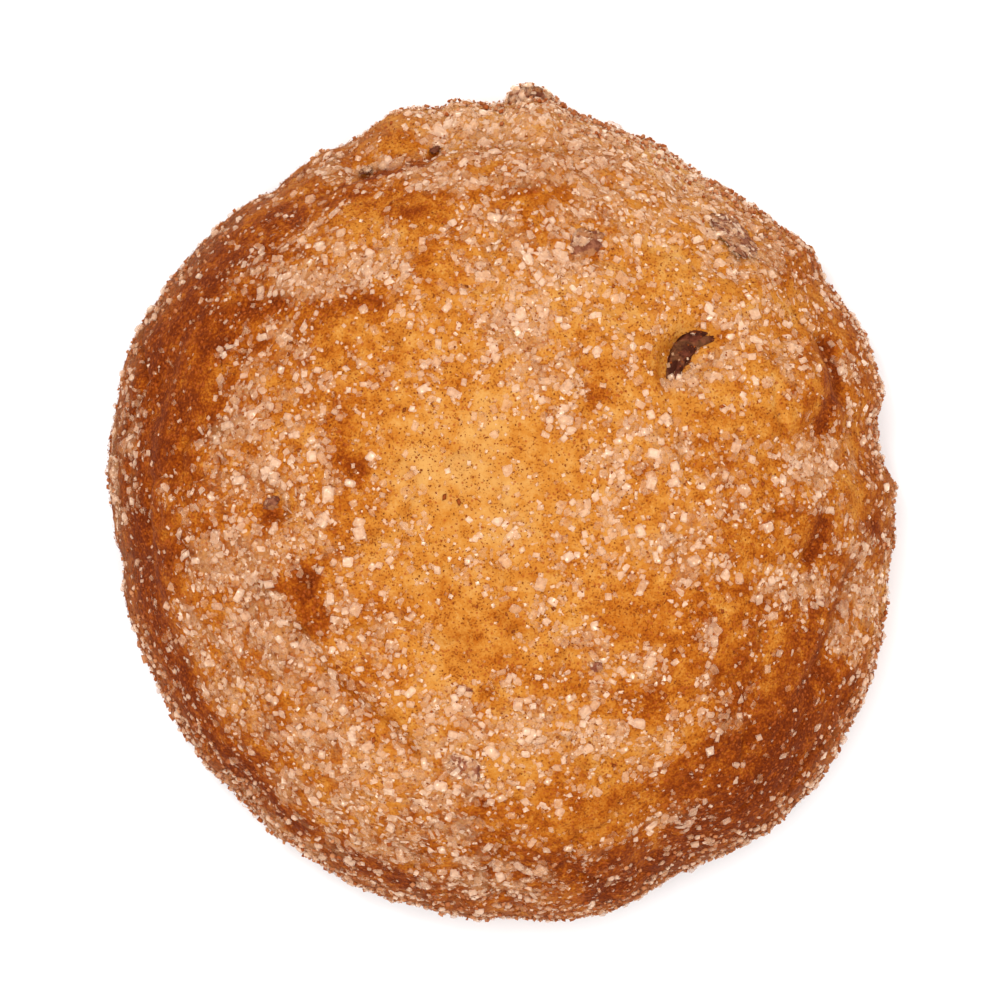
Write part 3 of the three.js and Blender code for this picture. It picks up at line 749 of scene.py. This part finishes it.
def lay_map(piece, count, kinds):
    """A map for baked colours: every small thing has a cell, with a corner of it for each kind of face."""
    layer = piece.data.uv_layers.new(name="OFBake", do_init=False)
    side = math.ceil(math.sqrt(count))
    cell = np.repeat(np.arange(count), len(kinds) // count)
    origin = np.stack([cell % side, cell // side], 1)
    shape = np.array([(0.08, 0.08), (0.42, 0.08), (0.08, 0.42)])
    corner = np.array([(0.0, 0.0), (0.5, 0.0), (0.0, 0.5)])[kinds]
    spots = (origin + corner)[:, None, :] + shape
    layer.uv.foreach_set("vector", (spots / side).astype(np.float32).ravel())


def block_sizes(count, smallest, largest, rng):
    """Half sizes of uneven blocks, more of them small than large, a little flatter than wide."""
    size = smallest + (largest - smallest) * rng.beta(*SIZE_SPREAD, count)
    return 0.5 * size[:, None] * rng.uniform(*BLOCK_SHARES, (count, 3))


def make_sugar(crust):
    """Every kind of sugar crystal, strewn over the crust and partly sunk in it."""
    rng = np.random.default_rng(SEED + 1)
    shapes = [
        cut_block(0.45, rounds=True), worn_block(1.1, 0.7), cut_block(0.35), worn_block(1.0, 0.7),
        worn_block(1.35, 0.65), plain_block(),
    ]
    upward = crust.facings[:, 2]
    upright = STEEP_SHARE + (1 - STEEP_SHARE) * smooth(UPRIGHT_GAIN * upward)
    flat_enough, fade = STEP_STEEPNESS
    steep_step = rise(crust.middles[:, 2], *STEP_FROM) * smooth((flat_enough - upward) / fade)
    strewn = crust.cover * upright * (1 - STEP_CLEARING * steep_step)
    fine = (crust.cover + FINE_EVERYWHERE) * upright
    weights = [strewn ** 1.3, crust.rim, strewn ** 1.6, strewn ** 1.6, strewn ** 1.5, fine]
    made, taken = [], {}
    for (name, count, sizes, spacing, lift), shape, weight in zip(SUGARS, shapes, weights):
        at, facing, _ = crust.places(2 * count, spacing, weight, rng)
        halves = block_sizes(len(at), *sizes, rng)
        kept = keep_apart(at, CLOSENESS * halves[:, :2].mean(1), taken, count)
        at, facing, halves = at[kept], facing[kept], halves[kept]
        at = at + facing * rng.uniform(*lift, len(at))[:, None]
        turns = flat_turns(facing + SUGAR_TILT * rng.normal(size=facing.shape), rng)
        made.append(scatter(name, shape, at, turns, halves, 0.1, rng))
    return made


def make_cinnamon(crust):
    """Ground cinnamon: flecks and chips all over, grit at the rim and a few larger bits of bark."""
    rng = np.random.default_rng(SEED + 2)
    strewn = smooth(crust.middles[:, 2] - 0.5) * (1.0 - 0.2 * crust.cover)
    made = []
    grits = [(flake(), strewn), (flake(), strewn), (plain_block(), crust.rim)]
    for (name, count, smallest, largest), (shape, weight) in zip(SPICES, grits):
        at, facing, face = crust.places(count, smallest, weight, rng)
        sizes = block_sizes(len(at), smallest, largest, rng)
        at = at + facing * (rng.uniform(*SPICE_LIFT, len(at)) + SUGAR_BED * crust.cover[face])[:, None]
        turns = flat_turns(facing + SPICE_TILT * rng.normal(size=facing.shape), rng)
        made.append(scatter(name, shape, at, turns, sizes, 0.25, rng))
    faces = [crust.over(x, y) for x, y, _ in BARK_BITS]
    at = np.array([(x, y, crust.middles[face, 2] + BARK_LIFT) for (x, y, _), face in zip(BARK_BITS, faces)])
    sizes = np.array([(size / 2, size / 2.6, size / 3) for _, _, size in BARK_BITS])
    made.append(scatter("cinnamon_bark", flake(), at, flat_turns(crust.facings[faces], rng), sizes, 0.2, rng))
    return made


def unit_ball(divisions):
    """Corners and triangles of a ball of radius 1."""
    bm = bmesh.new()
    bmesh.ops.create_icosphere(bm, subdivisions=divisions, radius=1)
    return take_out(bm)


def chopped_nut(half_sizes, turn, curl, seed):
    """A chopped pecan in millimetres: an uneven lump with wrinkled skin, its ends curled to one side."""
    corners, faces = unit_ball(4)
    points = corners * layers(corners, NUT_RELIEF, 1, seed)[:, None] * np.array(half_sizes)
    points[:, 1] -= curl * points[:, 0] ** 2
    c, s = math.cos(math.radians(turn)), math.sin(math.radians(turn))
    return points @ np.array([(c, s, 0), (-s, c, 0), (0, 0, 1)]), faces


def make_pecans(crust):
    """All pieces of nut as one mesh."""
    parts = []
    for seed, (x, y, half_sizes, turn, proud, curl, _) in enumerate(PECANS):
        points, faces = chopped_nut(half_sizes, turn, curl, seed)
        x, y = x + OFF_CENTRE[0], y + OFF_CENTRE[1]
        points[:, 2] += points[:, :2] @ crust.slope(x, y)
        top = crust.middles[crust.over(x, y), 2]
        parts.append((points + (x, y, top + proud - half_sizes[2]), faces))
    angle, half_sizes, z, proud, dark = RIM_PECAN
    out = rim_radius(angle) + proud - half_sizes[1]
    points, faces = chopped_nut(half_sizes, angle - 90, 0.0, len(PECANS))
    turn = math.radians(angle)
    parts.append((points + OFF_CENTRE + (out * math.cos(turn), out * math.sin(turn), z), faces))
    sizes = [len(p) for p, _ in parts]
    starts = np.cumsum([0] + sizes[:-1])
    faces = np.concatenate([f + start for (_, f), start in zip(parts, starts)])
    piece = make_mesh("pecan_pieces", np.concatenate([p for p, _ in parts]), faces)
    put_attribute(piece, "dark", np.repeat([pecan[-1] for pecan in PECANS] + [dark], sizes))
    return piece


def maths(operation, swapped=False):
    """An operator of shader values: it adds a Math node."""
    def apply(wire, other):
        ends = (other, wire) if swapped else (wire, other)
        return wire.finish.node("Math", {"operation": operation}, dict(enumerate(ends)))

    return apply


class Wire:
    """A shader value. Its operators add Math nodes, and colours go through Mix."""

    def __init__(self, finish, socket):
        self.finish, self.socket = finish, socket

    __add__ = __radd__ = maths("ADD")
    __mul__ = __rmul__ = maths("MULTIPLY")
    __sub__, __rsub__ = maths("SUBTRACT"), maths("SUBTRACT", swapped=True)
    __pow__, __lt__ = maths("POWER"), maths("LESS_THAN")


class Finish:
    """The nodes of one material."""

    def __init__(self, name):
        self.material = bpy.data.materials.new(name)
        self.material.use_nodes = True
        self.tree = self.material.node_tree
        self.tree.nodes.clear()

    def node(self, kind, settings=None, sockets=None, output=0):
        """Adds a node: its settings first, then its sockets, by name or number, from values or wires."""
        made = self.tree.nodes.new("ShaderNode" + kind)
        for name, value in (settings or {}).items():
            if name == "stops":
                self.set_stops(made.color_ramp, value)
            else:
                setattr(made, name, value)
        for name, value in (sockets or {}).items():
            if isinstance(value, Wire):
                self.tree.links.new(value.socket, made.inputs[name])
            else:
                made.inputs[name].default_value = value
        return Wire(self, made.outputs[output])

    @staticmethod
    def set_stops(ramp, stops):
        while len(ramp.elements) < len(stops):
            ramp.elements.new(0.5)
        for element, (place, colour) in zip(ramp.elements, stops):
            element.position = place
            element.color = colour

    def attribute(self, name):
        return self.node("Attribute", {"attribute_name": name}, output="Fac")

    def texture(self, kind, size, output=0, **more):
        """A texture in the piece's own space whose features have that size in millimetres."""
        place = self.node("TexCoord", output="Object")
        return self.node(kind, {}, {"Vector": place, "Scale": 1 / (size * MM), **more}, output)

    def noise(self, size, detail=3.0, roughness=0.55):
        """Noise from 0 to 1."""
        return self.texture("TexNoise", size, Detail=detail, Roughness=roughness)

    def spots(self, size, share):
        """Small uneven spots, one to a cell: 1 inside, 0 outside. That share of a cell's width is spot."""
        warp = self.texture("TexNoise", 0.5 * size)
        return self.texture("TexVoronoi", size, "Distance") + 0.3 * (warp - 0.5) < share

    def cells(self, size):
        """Cells, each with a value of its own from 0 to 1."""
        return self.texture("TexVoronoi", size, "Color")

    def ramp(self, value, stops):
        return self.node("ValToRGB", {"stops": stops}, {"Fac": value}, "Color")

    def mix(self, share, first, second):
        ends = {0: share, 6: first, 7: second}
        return self.node("Mix", {"data_type": "RGBA"}, ends, 2)

    def remap(self, value, low, high):
        """0 at low, 1 at high."""
        return self.node("MapRange", {}, {"Value": value, "From Min": low, "From Max": high})

    def bump(self, height, depth):
        """Relief of that depth in millimetres."""
        return self.node("Bump", {}, {"Height": height, "Distance": depth * MM}, "Normal")

    def close(self, **sockets):
        """Ends the material in a Principled shader with these sockets, spaces written as underscores."""
        named = {name.replace("_", " "): value for name, value in sockets.items()}
        surface = self.node("BsdfPrincipled", {}, named)
        output = self.tree.nodes.new("ShaderNodeOutputMaterial")
        self.tree.links.new(surface.socket, output.inputs["Surface"])
        return self.material


# Colours of the crust as it bakes, from pale gold to dark brown
BAKED = [
    (0.0, (0.54, 0.265, 0.07, 1)), (0.25, (0.465, 0.172, 0.023, 1)), (0.5, (0.36, 0.095, 0.006, 1)),
    (0.75, (0.23, 0.040, 0.0015, 1)), (1.0, (0.10, 0.013, 0.001, 1)),
]
# Cinnamon as powder, bark and red bark, crumbs of the rim, and sugar that has melted on the crust
POWDER = (0.16, 0.026, 0.001, 1)
CINNAMON = (0.17, 0.036, 0.006, 1)
RED_CINNAMON = (0.30, 0.062, 0.010, 1)
RIM_CRUMB = (0.50, 0.21, 0.09, 1)
MELTED_SUGAR = (0.49, 0.255, 0.10, 1)

# Sugar: tinted by the crust or browned in it, clean, paler at the rim as painted backlight, painted highlight
# on cut edges, and painted glint
TINTED_SUGAR = (0.74, 0.405, 0.195, 1)
BROWNED_SUGAR = (0.60, 0.26, 0.10, 1)
CLEAN_SUGAR = (0.86, 0.58, 0.40, 1)
BACKLIT_RIM_SUGAR = (0.91, 0.66, 0.48, 1)
EDGE_HIGHLIGHT_SUGAR = (0.93, 0.66, 0.47, 1)
SUGAR_GLINT = (1.0, 0.84, 0.66, 1)

# Skin and worn skin of dark and pale nuts, and the crumbs that stick to them
DARK_NUT = ((0.048, 0.012, 0.006, 1), (0.14, 0.036, 0.018, 1))
PALE_NUT = ((0.22, 0.063, 0.032, 1), (0.43, 0.17, 0.085, 1))
NUT_CRUMBS = (0.46, 0.20, 0.07, 1)

# Sizes in the finishes and depths of their bumps, in millimetres
MOTTLE, LARGE_MOTTLE, SAND = 0.9, 2.6, 0.17
POWDER_GRAIN, POWDER_PATCH = 0.12, 0.9
MELT_CELL, SMALL_MELT_CELL = 0.45, 0.24
FRECKLE, FRECKLED_AREA = 0.3, 0.7
CLOUD, BARK_GRAIN = 0.25, 0.2
NUT_SKIN, NUT_CRUMB_PATCH = 0.4, 0.6
CRUST_DEPTH, NUT_DEPTH = 0.14, 0.2


def mottling(finish):
    """Uneven baking, about -0.3 to 0.3."""
    return 1.1 * (finish.noise(MOTTLE) - 0.5) + 0.7 * (finish.noise(LARGE_MOTTLE) - 0.5)


def baked_dough():
    """Crust, browned as far as it is baked and darker where shade is painted in the furrows, with cinnamon in
    it and melted sugar on it.
    """
    finish = Finish("baked_dough")
    bake, film = finish.attribute("bake"), finish.attribute("film")
    mottle, sand = mottling(finish) * (0.6 + 0.6 * bake), finish.noise(SAND, 2.0, 0.6)
    crust = finish.ramp(bake + mottle + (0.1 + 1.3 * bake) * (sand - 0.5) + 0.06 * film, BAKED)
    powder = finish.noise(POWDER_GRAIN, 1.0) + 0.35 * finish.noise(POWDER_PATCH) + 0.2 * bake + 0.06 * film
    colour = finish.mix(0.7 * finish.remap(powder, 0.82, 0.92), crust, POWDER)
    cells = 0.5 * finish.cells(MELT_CELL) + 0.5 * finish.cells(SMALL_MELT_CELL)
    # melted sugar film; down the side it is also painted glow of the wrapping light
    melted = film * finish.remap(cells, 0.1, 0.7) * 0.5
    colour = finish.mix(melted, colour, MELTED_SUGAR)
    freckles = finish.spots(FRECKLE, 0.5 * finish.noise(FRECKLED_AREA) + 0.12 * bake - 0.08)
    colour = finish.mix(0.75 * freckles, colour, RED_CINNAMON)
    height = 1.2 * finish.noise(MOTTLE) + 0.3 * sand
    return finish.close(
        Base_Color=colour,
        Roughness=0.75 - 0.3 * melted,
        Specular_IOR_Level=0.04,
        Normal=finish.bump(height, CRUST_DEPTH),
    )


def sugar_crystal(name):
    """Clear sugar: the crust shows through, most where it is browned and at the crystals' flanks.
    Crystals of the rim are seen from their flanks, so these hide the crust too."""
    finish = Finish(name)
    tone, bake, worn, flank = (finish.attribute(each) for each in ("tone", "bake", "worn", "flank"))
    cloud = finish.noise(CLOUD, 1.0)
    # painted glints: the brightest spots of the cloud noise are made lighter and more opaque
    glint = finish.remap(cloud, 0.66, 0.74)
    # rim crystals: partly sugar, partly painted backlight, paler and whiter where the crust is less baked,
    # for the light wrapping round the edge
    if name == "sugar_rim":
        least, clear_flank, purity, pure = 0.34, 0.1, tone * (1.6 - bake), BACKLIT_RIM_SUGAR
    else:
        least, clear_flank, purity, pure = 0.19, 0.88, tone ** 2, CLEAN_SUGAR
    clouded = least + 0.42 * tone + 0.6 * (cloud - 0.5) + 0.2 * glint
    tinted = finish.mix(bake, TINTED_SUGAR, BROWNED_SUGAR)
    clean = finish.mix(purity, tinted, pure)
    # painted highlight: the cut edges of every crystal are lightened towards a pale colour
    edge_lit = finish.mix(0.4 * worn, clean, EDGE_HIGHLIGHT_SUGAR)
    return finish.close(
        Base_Color=finish.mix(0.5 * glint, edge_lit, SUGAR_GLINT),
        Alpha=clouded * (1.25 - 0.4 * bake) * (1 - 0.25 * worn) * (1 - clear_flank * flank),
        Roughness=0.2 + 0.3 * cloud,
        Specular_IOR_Level=0.1,
    )


def cinnamon(name):
    """Ground bark, redder where it has baked in the crumbs of the rim."""
    finish = Finish(name)
    tone = finish.attribute("tone")
    dark, light = (RED_CINNAMON, RIM_CRUMB) if name == "cinnamon_rim" else (CINNAMON, RED_CINNAMON)
    return finish.close(
        Base_Color=finish.mix(tone, dark, light),
        Roughness=0.75 + 0.1 * finish.noise(BARK_GRAIN),
        Specular_IOR_Level=0.05,
    )


def pecan():
    """Wrinkled skin of a nut, dark where it is roasted, with crumbs of dough on the pale ones."""
    finish = Finish("pecan_pieces")
    skin, dark = finish.noise(NUT_SKIN, 4.0), finish.attribute("dark")
    crumbs = finish.remap(finish.noise(NUT_CRUMB_PATCH), 0.5, 0.6) * (1 - 0.8 * dark)
    worn = finish.remap(skin, 0.45, 0.7)
    pale, deep = (finish.mix(worn, low, high) for low, high in (PALE_NUT, DARK_NUT))
    return finish.close(
        Base_Color=finish.mix(0.7 * crumbs, finish.mix(dark, pale, deep), NUT_CRUMBS),
        Roughness=0.6 + 0.2 * skin,
        Specular_IOR_Level=0.02,
        Normal=finish.bump(skin, NUT_DEPTH),
    )


def wear(piece, material):
    """Gives a piece its material, and ties it to the root body."""
    piece.data.materials.append(material)
    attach(piece, "root")


# The table in millimetres, the room's glow, and lights: name, width in metres, watts, place in metres
TABLE_REACH, TABLE_DROP = 400.0, 0.02
TABLE_WHITE = (0.93, 0.93, 0.93, 1)
ROOM_GLOW = 1.02
LIGHTS = [
    ("overhead_softbox", 1.23, 18.6, (0.0, 0.0, 1.62)),
    ("small_lamp", 0.2, 4.4, (-0.25, 0.325, 1.5)),
]

# The picture shows this width of the rim's plane, from straight above and a little beside the middle
SEEN_WIDTH = 55.56
CAMERA_HEIGHT = 1500.0
PICTURE_SHIFT = (-0.14, 0.14)
SENSOR_WIDTH = 36
SIGHT_RANGE = (0.01, 10)


def make_floor():
    """A plain white table."""
    ends = np.array([(-1, -1, 0), (1, -1, 0), (1, 1, 0), (-1, 1, 0)])
    floor = make_mesh("floor", TABLE_REACH * ends - (0, 0, TABLE_DROP), np.array([(0, 1, 2, 3)]))
    floor.data.materials.append(Finish("white_table").close(Base_Color=TABLE_WHITE, Roughness=0.9))


def make_light(name, size, strength, place):
    """A square softbox that faces the cookie."""
    light = bpy.data.lights.new(name, "AREA")
    light.size, light.energy = size, strength
    lamp = bpy.data.objects.new(name, light)
    lamp.location = place
    lamp.rotation_euler = (-Vector(place)).to_track_quat("-Z", "Y").to_euler()
    bpy.context.scene.collection.objects.link(lamp)


def make_room():
    """A white room with its lights."""
    world = bpy.data.worlds.new("white_room")
    world.use_nodes = True
    background = world.node_tree.nodes["Background"]
    background.inputs["Color"].default_value = (1, 1, 1, 1)
    background.inputs["Strength"].default_value = ROOM_GLOW
    bpy.context.scene.world = world
    for light in LIGHTS:
        make_light(*light)
    bpy.context.scene.view_settings.view_transform = "Standard"


def make_camera():
    """A camera far above, so that the picture has hardly any perspective."""
    camera = bpy.data.objects.new("camera", bpy.data.cameras.new("camera"))
    camera.data.sensor_width = SENSOR_WIDTH
    camera.data.lens = SENSOR_WIDTH * (CAMERA_HEIGHT - WIDEST_Z) / SEEN_WIDTH
    camera.location = (PICTURE_SHIFT[0] * MM, PICTURE_SHIFT[1] * MM, CAMERA_HEIGHT * MM)
    camera.data.clip_start, camera.data.clip_end = SIGHT_RANGE
    bpy.context.scene.collection.objects.link(camera)
    bpy.context.scene.camera = camera


def make_cookie():
    """The dough, the nuts in it, and sugar and cinnamon on both."""
    points, quads = dough_shape()
    dough = make_mesh("dough", points, quads)
    put_attribute(dough, "bake", browning_and_furrow_shade(points))
    put_attribute(dough, "film", sugar_film_and_edge_glow(points))
    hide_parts("cookie")
    wear(dough, baked_dough())
    pecans = make_pecans(Crust(dough))
    wear(pecans, pecan())
    crust = Crust(dough, pecans)
    for piece in make_sugar(crust):
        wear(piece, sugar_crystal(piece.name))
    for piece in make_cinnamon(crust):
        wear(piece, cinnamon(piece.name))


make_camera()
make_floor()
make_room()
make_cookie()
